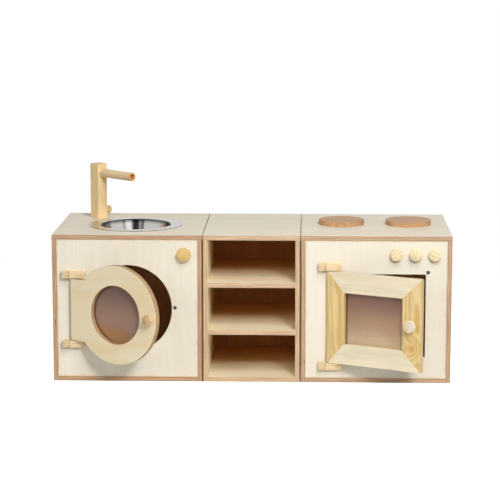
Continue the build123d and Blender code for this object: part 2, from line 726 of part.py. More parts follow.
def make_tap():
    """The tap's post, headed dowel, spout, handle and handle spindle."""
    spout_z = POST_HEIGHT - SPOUT_BELOW_TOP
    foot = face_on(TAP, out=POST_FLOAT)
    half = POST_SIDE / 2
    ahead = Plane(origin=TAP.from_local_coords(Vector(half, 0, spout_z)), z_dir=TAP.x_dir)
    beside = Plane(
        origin=TAP.from_local_coords(Vector(0, half, HANDLE_ABOVE_COUNTER)),
        x_dir=TAP.x_dir,
        z_dir=TAP.y_dir,
    )
    with BuildPart() as post:
        with BuildSketch(foot):
            Rectangle(POST_SIDE, POST_SIDE)
        extrude(amount=POST_HEIGHT - POST_FLOAT)
        chamfer(post.faces().sort_by(Axis.Z)[-1].edges(), POST_CHAMFER)
        drill([ahead], SPOUT_R + GLUE_PLAY, SPOUT_SOCKET)
        drill([face_on(foot, facing=-1)], TAP_DOWEL_R + GLUE_PLAY, TAP_DOWEL_IN_POST)
        drill([beside], HANDLE_SPINDLE_R + SPINDLE_PLAY, HANDLE_SPINDLE_IN_POST + DOWEL_END_PLAY)
    keep(post, "tap_post")

    under = face_on(TAP, out=-PLY - DIAL_FLOAT)
    with BuildPart() as dowel:
        length = PLY + DIAL_FLOAT + POST_FLOAT + TAP_DOWEL_IN_POST - DOWEL_END_PLAY
        rod(under, TAP_DOWEL_R, length)
        rod(face_on(under, facing=-1), TAP_HEAD_R, TAP_HEAD_THICKNESS)
    keep(dowel, "tap_dowel")

    start = Plane(origin=ahead.from_local_coords(Vector(0, 0, -SPOUT_SOCKET + DOWEL_END_PLAY)),
                  z_dir=TAP.x_dir)
    tip = Plane(origin=TAP.from_local_coords(Vector(SPOUT_REACH, 0, spout_z)), z_dir=TAP.x_dir)
    with BuildPart() as spout:
        rod(start, SPOUT_R, SPOUT_REACH - half + SPOUT_SOCKET - DOWEL_END_PLAY)
        drill([tip], SPOUT_BORE_R, SPOUT_BORE_DEPTH)
    keep(spout, "tap_spout")

    tip_z = DIAL_FLOAT + HANDLE_LENGTH
    outline = [
        (0, DIAL_FLOAT),
        (HANDLE_R - HANDLE_FOOT_INSET, DIAL_FLOAT),
        (HANDLE_R, DIAL_FLOAT + HANDLE_WAIST),
        (HANDLE_R, tip_z - HANDLE_CROWN),
        (0, tip_z),
    ]
    with BuildPart() as handle:
        turned(beside, outline, [(outline[2], HANDLE_ROUND), (outline[3], HANDLE_ROUND)])
        socket = face_on(beside, out=DIAL_FLOAT, facing=-1)
        drill([socket], HANDLE_SPINDLE_R + GLUE_PLAY, HANDLE_SPINDLE_IN_HANDLE)
    keep(handle, "tap_handle")

    with BuildPart() as spindle:
        inner = face_on(beside, out=-HANDLE_SPINDLE_IN_POST)
        outer = DIAL_FLOAT + HANDLE_SPINDLE_IN_HANDLE - DOWEL_END_PLAY
        rod(inner, HANDLE_SPINDLE_R, HANDLE_SPINDLE_IN_POST + outer)
    keep(spindle, "tap_handle_spindle")


def make_catches():
    """Ring magnets let into the two front panels, each held by a screw."""
    places = ((WASHER_X + WASHER_CATCH, WASHER_CATCH_Z), (OVEN_CATCH_X, OVEN_CATCH_Z))
    faces = [Plane(origin=(x, PANEL_Y, z), z_dir=(0, -1, 0)) for x, z in places]
    for name, face in zip(("washer", "oven"), faces):
        with BuildPart() as magnet:
            rod(face_on(face, out=-MAGNET_THICKNESS), MAGNET_R, MAGNET_THICKNESS)
            with Locations(face):
                CounterSinkHole(CATCH_SCREW_R + MAGNET_PLAY, CATCH_HEAD_R + MAGNET_PLAY)
        keep(magnet, f"{name}_catch_magnet")

    with BuildPart() as screws:
        for face in faces:
            head = CATCH_HEAD_R - CATCH_SCREW_R
            outline = [(0, -CATCH_SCREW_LENGTH), (CATCH_SCREW_R, -CATCH_SCREW_LENGTH)]
            outline += [(CATCH_SCREW_R, -head), (CATCH_HEAD_R, 0), (0, 0)]
            turned(face, outline)
            with Locations(face):
                Box(CATCH_SLOT, CATCH_SLOT_LENGTH, 2 * CATCH_SLOT_DEPTH, mode=Mode.SUBTRACT)
                Box(CATCH_SLOT_LENGTH, CATCH_SLOT, 2 * CATCH_SLOT_DEPTH, mode=Mode.SUBTRACT)
    keep(screws, "catch_screws")


def make_dowels():
    """All the wooden dowels between boards, and under the hob discs."""
    with BuildPart() as dowels:
        for joint in dowel_places:
            inner = face_on(joint, out=-dowel_depth(joint) + DOWEL_END_PLAY)
            rod(inner, DOWEL_R, dowel_depth(joint) + DOWEL_IN_FACE - 2 * DOWEL_END_PLAY)
    keep(dowels, "dowels")


os.makedirs("parts", exist_ok=True)
hinges = [make_washer_fronts(), make_oven_fronts()]
make_shelf_unit()
make_washer_door()
make_oven_door()
make_hinge_fasteners(hinges)
make_sink()
make_tap()
make_catches()
make_dowels()
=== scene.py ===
from math import cos, pi, radians, sin

import bpy
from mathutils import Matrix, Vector


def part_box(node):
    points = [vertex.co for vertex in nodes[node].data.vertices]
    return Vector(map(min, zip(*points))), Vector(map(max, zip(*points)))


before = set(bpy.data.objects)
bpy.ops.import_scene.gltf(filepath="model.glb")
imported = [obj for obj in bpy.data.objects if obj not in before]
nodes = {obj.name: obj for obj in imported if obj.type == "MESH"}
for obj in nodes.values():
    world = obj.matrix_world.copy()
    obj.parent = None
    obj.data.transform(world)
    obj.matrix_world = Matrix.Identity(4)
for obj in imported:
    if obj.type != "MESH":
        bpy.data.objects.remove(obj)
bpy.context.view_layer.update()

X = Vector((1, 0, 0))
Y = Vector((0, 1, 0))
Z = Vector((0, 0, 1))
ORIGIN = Vector((0, 0, 0))
MM = 0.001

# At rest both doors stand open and the tap is turned.
WASHER_OPEN = radians(31.0)
OVEN_OPEN = radians(26.5)
TAP_TURN = radians(45.0)

WASHER_DOOR_HALF_THICKNESS = 9 * MM
WASHER_PANE_BEHIND_DOOR_MIDDLE = 7.5 * MM
WASHER_WINDOW_RADIUS = 88 * MM
OVEN_WINDOW_HALF_WIDTH = 94.5 * MM
SPOUT_BORE_RADIUS = 8.2 * MM


def srgb(red, green, blue):
    """A display colour of 0 to 255 as a linear colour."""
    linear = []
    for value in (red, green, blue):
        value /= 255
        linear.append(value / 12.92 if value <= 0.04045 else ((value + 0.055) / 1.055) ** 2.4)
    return (*linear, 1.0)


# Each pair is the pale and the dark colour of a figure, or the two layers of a plywood edge.
VENEER = (srgb(243, 236, 220), srgb(240, 231, 211))
COUNTER_VENEER = (srgb(246, 236, 216), srgb(241, 229, 204))
SHELF_VENEER = (srgb(251, 238, 210), srgb(247, 227, 190))
DOOR_VENEER = (srgb(250, 236, 202), srgb(244, 221, 176))
WASHER_EDGE = (srgb(220, 188, 152), srgb(182, 138, 101))
SHELF_EDGE = (srgb(236, 210, 174), srgb(212, 172, 134))
OVEN_EDGE = (srgb(224, 196, 165), srgb(186, 144, 108))
DOOR_EDGE = (srgb(228, 196, 152), srgb(150, 104, 66))
BIRCH = (srgb(236, 212, 170), srgb(222, 192, 146))
ARM_BIRCH = (srgb(241, 218, 177), srgb(228, 200, 155))
BLOCK_BIRCH = (srgb(229, 205, 165), srgb(214, 184, 140))
WASHER_KNOB = (srgb(240, 216, 172), srgb(213, 178, 130))
OVEN_KNOB = (srgb(253, 245, 223), srgb(247, 232, 200))
WASHER_DIAL = (srgb(240, 214, 152), srgb(210, 166, 94))
BEECH = (srgb(251, 238, 203), srgb(239, 216, 168))
PINE = (srgb(234, 206, 148), srgb(220, 184, 118))
PALE_PINE = (srgb(242, 229, 200), srgb(239, 224, 192))
POST_PINE = (srgb(253, 227, 176), srgb(245, 209, 149))
RAMIN = (srgb(255, 231, 183), srgb(248, 214, 160))
HANDLE = (srgb(240, 209, 144), srgb(225, 187, 118))
HOB_BEECH = (srgb(205, 163, 121), srgb(189, 143, 99))

# Painted light and shade on the panes: the lit inside below the line, a painted reflection above it, and
# painted shade at the top.
WASHER_PANE_PAINTED_LIGHT = (srgb(208, 154, 102), srgb(206, 168, 146), srgb(162, 130, 122))
OVEN_PANE_PAINTED_LIGHT = (srgb(242, 214, 176), srgb(212, 170, 138), srgb(170, 130, 116))
# Painted shade: the dark strip along a window's edge by its hinge.
PANE_EDGE = srgb(70, 38, 20)
PANE_ALPHA = 0.36

# SEAM is painted shade: the dark of the gaps where counters and cabinets meet.
SEAM = srgb(52, 30, 18)
EDGE_LIP = srgb(112, 74, 46)
EDGE_VOID = srgb(74, 44, 26)
KNOT = srgb(200, 132, 62)
WASHER_BACK = srgb(206, 158, 106)
SHELF_BACK = srgb(216, 152, 90)
OVEN_BACK = srgb(236, 206, 160)
OUTER_BACK = srgb(232, 206, 162)
BOWL_STEEL = srgb(214, 211, 207)
SCREW_STEEL = srgb(122, 120, 114)
PIN_STEEL = srgb(186, 184, 180)
FERRITE = (srgb(34, 34, 34), srgb(58, 57, 55))

# Tints that multiply a colour: raw inner faces, and painted shade that makes the shelf cabinet's inside
# darker and warmer towards its back, each with the depth where it starts; and end grain.
RAW = ((0.86, 0.66, 0.44, 1.0), -0.5)
SHADED = ((0.9, 0.62, 0.37, 1.0), -0.13)
RAW_AND_SHADE_FADE = 0.24
PLAIN_END = (0.86, 0.8, 0.74, 1.0)
# On the spout this end tint is also painted shade on the walls inside its bore.
SPOUT_END = (0.78, 0.53, 0.31, 1.0)
DIAL_END = (1.0, 0.97, 0.92, 1.0)
HOB_END = (0.93, 0.93, 0.93, 1.0)

PLIES = 7
RING_TAPER = 0.03
RING_SWIRL = 14 * MM
WOOD_GLOSS = 0.35
# Lower gloss for a side that meets another cabinet, where its seam is painted shade.
SEAM_SIDE_GLOSS = 0.08


class Nodes:
    """A node tree, with short calls for the nodes that it needs."""

    def __init__(self, tree):
        self.tree = tree

    def put(self, socket, value):
        """Link an output to a socket, or set a constant on it."""
        if isinstance(value, bpy.types.NodeSocket):
            self.tree.links.new(value, socket)
        else:
            socket.default_value = value

    def add(self, kind, inputs=None, **settings):
        node = self.tree.nodes.new(kind)
        for name, value in settings.items():
            setattr(node, name, value)
        for name, value in (inputs or {}).items():
            self.put(node.inputs[name], value)
        return node

    def math(self, operation, a, b=0.0, clamp=False):
        node = self.add("ShaderNodeMath", {0: a, 1: b}, operation=operation, use_clamp=clamp)
        return node.outputs[0]

    def plus(self, a, b):
        return self.math("ADD", a, b)

    def times(self, a, b):
        return self.math("MULTIPLY", a, b)

    def scaled(self, value, factor, shift=0.0):
        return self.plus(self.times(value, factor), shift)

    def hypot(self, a, b):
        return self.math("SQRT", self.plus(self.times(a, a), self.times(b, b)))

    def step(self, value, low, high, at_low=0.0, at_high=1.0, curve="SMOOTHSTEP"):
        """Goes from at_low to at_high as the value goes from low to high."""
        inputs = {0: value, 1: low, 2: high, 3: at_low, 4: at_high}
        return self.add("ShaderNodeMapRange", inputs, interpolation_type=curve).outputs[0]

    def mix(self, share, a, b, blend="MIX"):
        node = self.add("ShaderNodeMix", {0: share, 6: a, 7: b}, data_type="RGBA", blend_type=blend)
        return node.outputs[2]


class Shader(Nodes):
    """A material with one Principled surface, in the lengths of the shared frame."""

    def __init__(self, name):
        self.material = bpy.data.materials.new(name)
        self.material.use_nodes = True
        super().__init__(self.material.node_tree)
        self.surface = self.tree.nodes["Principled BSDF"]
        place = self.add("ShaderNodeTexCoord")
        self.position = place.outputs["Object"]
        self.normal = place.outputs["Normal"]

    def dot(self, vector, axis):
        node = self.add("ShaderNodeVectorMath", {0: vector, 1: axis}, operation="DOT_PRODUCT")
        return node.outputs["Value"]

    def join(self, x, y, z):
        return self.add("ShaderNodeCombineXYZ", {0: x, 1: y, 2: z}).outputs[0]

    def xyz(self):
        return [self.dot(self.position, axis) for axis in (X, Y, Z)]

    def local(self, place):
        """Lengths along the grain, across it and through the thickness, from the piece's middle."""
        centre, along, across, through = place
        shift = self.add("ShaderNodeVectorMath", {0: self.position, 1: centre}, operation="SUBTRACT")
        return [self.dot(shift.outputs[0], axis) for axis in (along, across, through)]

    def inside(self, length, half):
        """How far a length from the middle lies inside a half size."""
        return self.math("SUBTRACT", half, self.math("ABSOLUTE", length))

    def facing(self, axis, low=0.55, high=0.85):
        """1 where the surface looks along an axis, either way."""
        return self.step(self.math("ABSOLUTE", self.dot(self.normal, axis)), low, high)

    def noise(self, lengths, pitches, seed=0.0, detail=2.0, distortion=0.0):
        """Noise of its own pitch, in cells a metre, along each of three lengths."""
        first, second, third = zip(lengths, pitches)
        vector = self.join(self.scaled(*first, seed), self.scaled(*second), self.scaled(*third))
        inputs = {"Vector": vector, "Scale": 1.0, "Detail": detail, "Distortion": distortion}
        return self.add("ShaderNodeTexNoise", inputs).outputs[0]

    def shade(self, colour, factor):
        """The colour times a grey factor."""
        return self.mix(1.0, colour, self.join(factor, factor, factor), "MULTIPLY")

    def finish(self, colour, roughness, height, bump, distance, gloss=WOOD_GLOSS):
        self.put(self.surface.inputs["Base Color"], colour)
        self.put(self.surface.inputs["Roughness"], roughness)
        self.put(self.surface.inputs["Specular IOR Level"], gloss)
        relief = self.add("ShaderNodeBump", {"Strength": bump, "Distance": distance, "Height": height})
        self.put(self.surface.inputs["Normal"], relief.outputs[0])
        return self.material


def plywood(name, place, half, face, edge, seed, joined=None, outside=0, inner=None):
    """Birch plywood: pale veneer on its faces, bare layers on its edges, a little wear at its rims.

    joined names the ends that meet another counter. outside is the side that meets another cabinet. Both
    get painted shade in SEAM's dark colour, standing for the shaded gap there.
    inner is the side that is raw, or 0 for both, with its tint and the depth where that starts. With
    SHADED the tint is painted shade instead, darker and warmer towards the back.
    """
    s = Shader(name)
    u, v, t = lengths = s.local(place)
    thickness = 2 * half[2]
    is_face = s.facing(place[3])

    figure = s.noise(lengths, (3.2, 15.0, 3.0), seed, 3.0, 1.1)
    streak = s.noise(lengths, (9.0, 420.0, 90.0), seed, 3.0)
    fleck = s.noise(lengths, (110.0, 1500.0, 0.0), seed, 1.0)
    veneer = s.mix(s.step(figure, 0.3, 0.75), *face)
    veneer = s.shade(veneer, s.step(streak, 0.25, 0.75, 0.975, 1.015))
    veneer = s.shade(veneer, s.step(fleck, 0.66, 0.74, 1.0, 0.95))
    # With SHADED this tint is painted shade, darker and warmer towards the back; with RAW it marks raw
    # inner faces.
    if inner:
        side, tint, start = inner
        raw_and_painted_shade = s.step(s.dot(s.position, Y), start, start + RAW_AND_SHADE_FADE)
        if side:
            raw_and_painted_shade = s.times(raw_and_painted_shade, s.step(s.scaled(t, side / thickness), 0.3, 0.45))
        veneer = s.mix(raw_and_painted_shade, veneer, tint, "MULTIPLY")

    layer = s.scaled(t, PLIES / thickness, PLIES / 2)
    index = s.math("FLOOR", layer)
    is_end_grain = s.math("MODULO", s.math("ABSOLUTE", index), 2.0)
    band = s.noise((u, v, index), (13.0, 13.0, 3.7), seed, 4.0)
    fibre = s.noise(lengths, (260.0, 260.0, 2600.0), seed)
    layers = s.mix(is_end_grain, *edge)
    layers = s.shade(layers, s.step(band, 0.3, 0.7, 0.8, 1.1))
    layers = s.shade(layers, s.step(fibre, 0.25, 0.75, 0.9, 1.06))
    glue = s.step(s.math("ABSOLUTE", s.scaled(s.math("FRACT", layer), 1.0, -0.5)), 0.38, 0.5)
    layers = s.shade(layers, s.step(glue, 0.0, 1.0, 1.0, 0.72))
    lip = s.step(s.inside(t, half[2]), 0.3 * MM, 1.5 * MM, 0.5, 0.0)
    layers = s.mix(lip, layers, EDGE_LIP)
    void_pitch = 5.3
    shifted = s.scaled(index, 1.0, seed / void_pitch)
    void = s.noise((u, v, shifted), (17.0, 17.0, void_pitch), 1.7 * seed, 1.0)
    layers = s.mix(s.times(s.step(void, 0.73, 0.76), is_end_grain), layers, EDGE_VOID)

    colour = s.mix(is_face, layers, veneer)
    to_end = s.inside(u, half[0])
    to_side = s.inside(v, half[1])
    rim = s.step(s.math("MINIMUM", to_end, to_side), 0.0, 9 * MM, 1.0, 0.0)
    patch = s.noise(lengths, (35.0, 35.0, 35.0), seed)
    worn = s.times(s.times(rim, s.step(patch, 0.4, 0.7)), is_face)
    colour = s.mix(s.scaled(worn, 0.35), colour, edge[0])
    # Painted shade: SEAM's dark colour along the ends that meet another counter and on the outer faces
    # that meet another cabinet, where the gaps lie in shade.
    if joined:
        sign = {"left": 1.0, "right": -1.0}.get(joined)
        to_join = s.scaled(u, sign, half[0]) if sign else to_end
        colour = s.mix(s.step(to_join, 0.2 * MM, 1.6 * MM, 0.75, 0.0), colour, SEAM)
    roughness = s.step(streak, 0.2, 0.8, 0.46, 0.58)
    if outside:
        to_outside = s.scaled(t, -outside, half[2])
        painted_seam_shade = s.times(s.step(to_outside, 0.6 * MM, 3.0 * MM, 0.9, 0.0),
                       s.step(to_side, 10 * MM, 40 * MM, 1.0, 0.0))
        colour = s.mix(painted_seam_shade, colour, SEAM)
        roughness = s.math("ADD", roughness, s.scaled(painted_seam_shade, 0.4), True)

    height = s.plus(s.times(streak, is_face), s.times(glue, -0.8))
    return s.finish(colour, roughness, height, 0.12, 0.25 * MM, SEAM_SIDE_GLOSS if outside else WOOD_GLOSS)


def wood(name, place, colours, ring, pith, seed, knot=None, end=PLAIN_END, bore=None):
    """Solid wood: growth rings about a pith line, so faces show figure and ends show arcs."""
    s = Shader(name)
    u, v, t = lengths = s.local(place)
    wander = s.noise(lengths, (4.0, 11.0, 11.0), seed)
    drift = s.scaled(wander, RING_SWIRL, -RING_SWIRL / 2)
    aside = s.plus(s.scaled(v, 1.0, -pith[0]), s.plus(drift, s.scaled(u, RING_TAPER)))
    deep = s.plus(s.scaled(t, 1.0, -pith[1]), drift)
    reach = s.hypot(aside, deep)
    if knot:
        knot_u, knot_v, size = knot
        away = s.hypot(s.scaled(u, 0.75, -0.75 * knot_u), s.scaled(v, 1.0, -knot_v))
        bulge = s.math("POWER", 2.718, s.scaled(s.times(away, away), -1 / (7 * size * size)))
        reach = s.plus(reach, s.scaled(bulge, 2.2 * size))

    phase = s.math("FRACT", s.scaled(reach, 1 / ring))
    late = s.times(s.step(phase, 0.25, 0.86), s.step(phase, 0.9, 1.0, 1.0, 0.0))
    fibre = s.noise(lengths, (16.0, 1300.0, 1300.0), seed)
    cloud = s.noise(lengths, (9.0, 32.0, 32.0), seed)
    colour = s.mix(late, *colours)
    colour = s.shade(colour, s.step(fibre, 0.25, 0.75, 0.93, 1.04))
    colour = s.shade(colour, s.step(cloud, 0.3, 0.7, 0.93, 1.05))
    if knot:
        heart = s.step(away, 0.25 * size, 1.3 * size, 1.0, 0.0)
        halo = s.step(away, 0.8 * size, 4.2 * size, 0.45, 0.0)
        colour = s.mix(s.scaled(s.math("MAXIMUM", heart, halo), 0.6), colour, KNOT)
    is_end = s.facing(place[1], 0.6, 0.9)
    # Painted shade: the bore's inside, its walls as well as its end-grain bottom, takes the darker end
    # tint.
    if bore:
        in_bore = s.step(s.hypot(v, t), bore, 1.08 * bore, 1.0, 0.0)
        is_end = s.math("MAXIMUM", is_end, in_bore)
    colour = s.mix(is_end, colour, end, "MULTIPLY")
    roughness = s.step(fibre, 0.2, 0.8, 0.42, 0.54)
    height = s.plus(fibre, s.scaled(late, 0.6))
    return s.finish(colour, roughness, height, 0.12, 0.2 * MM)


def thin_board(name, inside, seed):
    """Plain warm board for the backs, with an upright grain and a paler outer face."""
    s = Shader(name)
    _, y, _ = lengths = s.xyz()
    figure = s.noise(lengths, (22.0, 22.0, 2.6), seed, 3.0, 0.8)
    streak = s.noise(lengths, (520.0, 90.0, 9.0), seed, 3.0)
    pore = s.noise(lengths, (1700.0, 300.0, 90.0), seed, 1.0)
    low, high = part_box(name)
    skin = 2 * MM
    colour = s.mix(s.step(y, low.y + skin, high.y - skin), inside, OUTER_BACK)
    colour = s.shade(colour, s.step(figure, 0.3, 0.7, 0.9, 1.06))
    colour = s.shade(colour, s.step(streak, 0.25, 0.75, 0.92, 1.04))
    colour = s.shade(colour, s.step(pore, 0.64, 0.72, 1.0, 0.8))
    return s.finish(colour, s.step(streak, 0.2, 0.8, 0.5, 0.64), streak, 0.15, 0.2 * MM, 0.3)


def steel(name, centre, tint, smooth, rough, lines, top=None, rim=None):
    """Polished or brushed metal with fine rings about a vertical line.

    A bowl's top and rim are its half sizes: a painted dark reflection lies just below its mouth, painted
    shade at its rim's outer edge, and a painted highlight makes its flat faces lighter than its walls.
    """
    s = Shader(name)
    x, y, z = lengths = s.local((centre, X, Y, Z))
    reach = s.hypot(x, y)
    rings = s.noise((reach, z, z), (lines, lines, 0.0), detail=3.0)
    haze = s.noise(lengths, (28.0, 28.0, 28.0), detail=3.0)
    colour = s.shade(tint, s.step(rings, 0.2, 0.8, 0.95, 1.03))
    if rim:
        is_wall = s.scaled(s.facing(Z, 0.8, 0.97), -1.0, 1.0)
        # Painted reflection: a dark band on the wall just below the mouth.
        by_mouth = s.times(is_wall, s.step(z, top - 15 * MM, top - 3 * MM))
        colour = s.shade(colour, s.scaled(by_mouth, -0.72, 1.0))
        # Painted highlight: the flat faces lighter than the walls.
        colour = s.shade(colour, s.scaled(is_wall, -0.14, 1.14))
        # Painted shade: a darker outer edge of the rim.
        colour = s.shade(colour, s.step(reach, rim - 1.8 * MM, rim - 0.5 * MM, 1.0, 0.45))
    roughness = s.plus(s.step(rings, 0.2, 0.8, smooth, rough), s.step(haze, 0.45, 0.75, 0.0, 0.05))
    roughness = s.plus(roughness, s.scaled(s.facing(Z, 0.97, 0.998), 0.12))
    s.put(s.surface.inputs["Metallic"], 1.0)
    return s.finish(colour, roughness, rings, 0.03, 0.05 * MM, 0.5)


def acrylic(name, place, painted_light, line, window, is_round, seed):
    """Clear sheet whose colour paints the lit inside low down, a painted reflection above it and painted
    shade, deepest at its top and by its hinge side; and a few smears.

    line is where the painted light of the lit inside ends, in shares of the height. window is the clear
    half width.
    """
    s = Shader(name)
    u, v, _ = s.local(place)
    _, _, z = lengths = s.xyz()
    smear = s.noise(lengths, (9.0, 9.0, 26.0), seed, 3.0, 1.2)
    scratch = s.noise(lengths, (900.0, 900.0, 40.0), seed)
    low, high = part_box(name)
    height = high.z - low.z
    rise = s.plus(s.scaled(z, 1 / height, -low.z / height), s.scaled(smear, 0.16, -0.08))
    bent_rise = s.plus(rise, s.step(u, 0.0, 75 * MM, 0.0, 0.11))
    # Painted light and shade: the lit inside below the bent line, a painted reflection above it, painted
    # shade towards the top.
    colour = s.mix(s.step(bent_rise, *line), painted_light[0], painted_light[1])
    colour = s.mix(s.step(rise, 0.45, 0.88), colour, painted_light[2])
    # Painted shade: a dark strip inside the window's edge on the hinge side.
    from_middle = s.hypot(u, v) if is_round else s.scaled(u, -1.0)
    edge = s.step(from_middle, window - 8 * MM, window - 2 * MM)
    by_hinge = s.times(edge, s.step(u, -50 * MM, 0.0, 1.0, 0.0))
    colour = s.mix(s.scaled(by_hinge, 0.75), colour, PANE_EDGE)
    s.put(s.surface.inputs["Alpha"], PANE_ALPHA)
    s.put(s.surface.inputs["IOR"], 1.49)
    roughness = s.plus(s.step(smear, 0.35, 0.75, 0.05, 0.12), s.step(scratch, 0.62, 0.7, 0.0, 0.1))
    return s.finish(colour, roughness, scratch, 0.01, 0.1 * MM, 0.5)


def ferrite(name):
    """Dark ring magnet."""
    s = Shader(name)
    grit = s.noise(s.xyz(), (1400.0, 1400.0, 1400.0), detail=3.0)
    colour = s.mix(s.step(grit, 0.3, 0.7), *FERRITE)
    return s.finish(colour, s.step(grit, 0.3, 0.7, 0.5, 0.7), grit, 0.15, 0.1 * MM, 0.12)


def middle(name):
    """The middle of a node's box at rest."""
    low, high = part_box(name)
    return (low + high) / 2


def half_size(name):
    low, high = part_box(name)
    return (high - low) / 2


def dress(name, material):
    """Give a CAD node its material."""
    for slot in nodes[name].material_slots:
        slot.material = material


def dress_board(name, axes, face, edge, seed, **details):
    """Plywood on a board that stands square. The axes run along, across and through it."""
    half = [abs(half_size(name).dot(axis)) for axis in axes]
    dress(name, plywood(name, (middle(name), *axes), half, face, edge, seed, **details))


def dress_wood(name, axes, colours, ring, pith, seed, **details):
    """Solid wood on a piece. The axes run along, across and through its grain."""
    dress(name, wood(name, (middle(name), *axes), colours, ring, pith, seed, **details))


def door_axes(opening):
    """Along a door from its hinge, and out of its front."""
    return Vector((cos(opening), -sin(opening), 0)), Vector((-sin(opening), -cos(opening), 0))


def dress_cabinets():
    flat, upright, frontal = (X, Y, Z), (Z, Y, X), (Z, X, Y)
    for number, (cabinet, edge, inside, raw_and_painted_shade, back, joined) in enumerate((
        ("washer", WASHER_EDGE, VENEER, RAW, WASHER_BACK, "right"),
        ("shelf", SHELF_EDGE, SHELF_VENEER, SHADED, SHELF_BACK, "both"),
        ("oven", OVEN_EDGE, VENEER, RAW, OVEN_BACK, "left"),
    )):
        seed = 11.0 * number
        below, above = (-1, *raw_and_painted_shade), (1, *raw_and_painted_shade)
        meets_left = 0 if joined == "right" else -1
        meets_right = 0 if joined == "left" else 1
        dress_board(f"{cabinet}_counter", flat, COUNTER_VENEER, edge, seed + 1.3,
                    joined=joined, inner=below)
        dress_board(f"{cabinet}_left_side", upright, inside, edge, seed + 2.7,
                    outside=meets_left, inner=above)
        dress_board(f"{cabinet}_right_side", upright, inside, edge, seed + 4.1,
                    outside=meets_right, inner=below)
        dress_board(f"{cabinet}_bottom", flat, inside, edge, seed + 5.9, inner=above)
        dress(f"{cabinet}_back", thin_board(f"{cabinet}_back", back, seed + 7.3))
    dress_board("lower_shelf", flat, SHELF_VENEER, SHELF_EDGE, 41.0, inner=(0, *SHADED))
    dress_board("upper_shelf", flat, SHELF_VENEER, SHELF_EDGE, 47.0, inner=(0, *SHADED))
    dress_board("washer_front", frontal, VENEER, WASHER_EDGE, 53.0, inner=(1, *RAW))
    dress_board("oven_front", frontal, VENEER, OVEN_EDGE, 59.0, inner=(1, *RAW))


def dress_washer_door():
    along, outward = door_axes(WASHER_OPEN)
    pane = middle("washer_door_pane")
    place = (pane + outward * WASHER_PANE_BEHIND_DOOR_MIDDLE, along, Z, outward)
    beyond_rim = 0.5
    half = (beyond_rim, beyond_rim, WASHER_DOOR_HALF_THICKNESS)
    dress("washer_door", plywood("washer_door", place, half, DOOR_VENEER, DOOR_EDGE, 71.0))
    place = (pane, along, Z, outward)
    dress("washer_door_pane", acrylic("washer_door_pane", place, WASHER_PANE_PAINTED_LIGHT, (0.26, 0.31),
                                      WASHER_WINDOW_RADIUS, True, 3.0))


def dress_oven_door():
    along, outward = door_axes(OVEN_OPEN)
    upright, level = (Z, along, outward), (along, Z, outward)
    knot = (-68 * MM, 4 * MM, 8 * MM)
    for word, axes, colours, seed, rail_knot in (
        ("left", upright, PINE, 73.0, None),
        ("right", upright, PINE, 79.0, knot),
        ("top", level, PALE_PINE, 83.0, None),
        ("bottom", level, PALE_PINE, 89.0, None),
    ):
        name = f"oven_door_{word}_rail"
        dress_wood(name, axes, colours, 6.5 * MM, (18 * MM, 52 * MM), seed, knot=rail_knot)
    place = (middle("oven_door_pane"), *level)
    dress("oven_door_pane", acrylic("oven_door_pane", place, OVEN_PANE_PAINTED_LIGHT, (0.12, 0.5),
                                    OVEN_WINDOW_HALF_WIDTH, False, 8.0))


def dress_knobs_and_hinges():
    for door, opening, knob in (("washer", WASHER_OPEN, WASHER_KNOB), ("oven", OVEN_OPEN, OVEN_KNOB)):
        along, outward = door_axes(opening)
        dress_wood(f"{door}_door_knob", (outward, along, Z), knob, 9.0 * MM, (40 * MM, 22 * MM), 91.0)
        for word in ("upper", "lower"):
            for part, colours in (("arm", ARM_BIRCH), ("block", BLOCK_BIRCH)):
                name = f"{door}_{word}_hinge_{part}"
                seed = 97.0 + len(name) + 5.0 * (word == "upper")
                dress_wood(name, (X, Z, Y), colours, 4.2 * MM, (26 * MM, 30 * MM), seed)


def dress_dials():
    axes = (Y, X, Z)
    for name, colours, ring, pith in (
        ("washer_dial", WASHER_DIAL, 6.0 * MM, (20 * MM, 31 * MM)),
        ("oven_left_dial", BEECH, 9.6 * MM, (-29 * MM, 33 * MM)),
        ("oven_middle_dial", BEECH, 10.5 * MM, (19 * MM, 14 * MM)),
        ("oven_right_dial", BEECH, 12.0 * MM, (14 * MM, 38 * MM)),
    ):
        dress_wood(name, axes, colours, ring, pith, 101.0 + 3 * pith[0] / MM, end=DIAL_END)
        dress_wood(f"{name}_spindle", axes, BIRCH, 3.0 * MM, (9 * MM, 14 * MM), 103.0)


def dress_tap():
    spout = Vector((sin(TAP_TURN), -cos(TAP_TURN), 0))
    beside = Vector((cos(TAP_TURN), sin(TAP_TURN), 0))
    for name, grain, across, colours, pith, details in (
        ("tap_post", Z, spout, POST_PINE, (48 * MM, 30 * MM), {}),
        ("tap_dowel", Z, X, RAMIN, (12 * MM, 20 * MM), {}),
        ("tap_spout", spout, Z, RAMIN, (16 * MM, 24 * MM), {"end": SPOUT_END, "bore": SPOUT_BORE_RADIUS}),
        ("tap_handle", beside, Z, HANDLE, (14 * MM, 18 * MM), {}),
        ("tap_handle_spindle", beside, Z, RAMIN, (9 * MM, 12 * MM), {}),
    ):
        axes = (grain, across, grain.cross(across))
        dress_wood(name, axes, colours, 4.4 * MM, pith, 107.0 + len(name), **details)


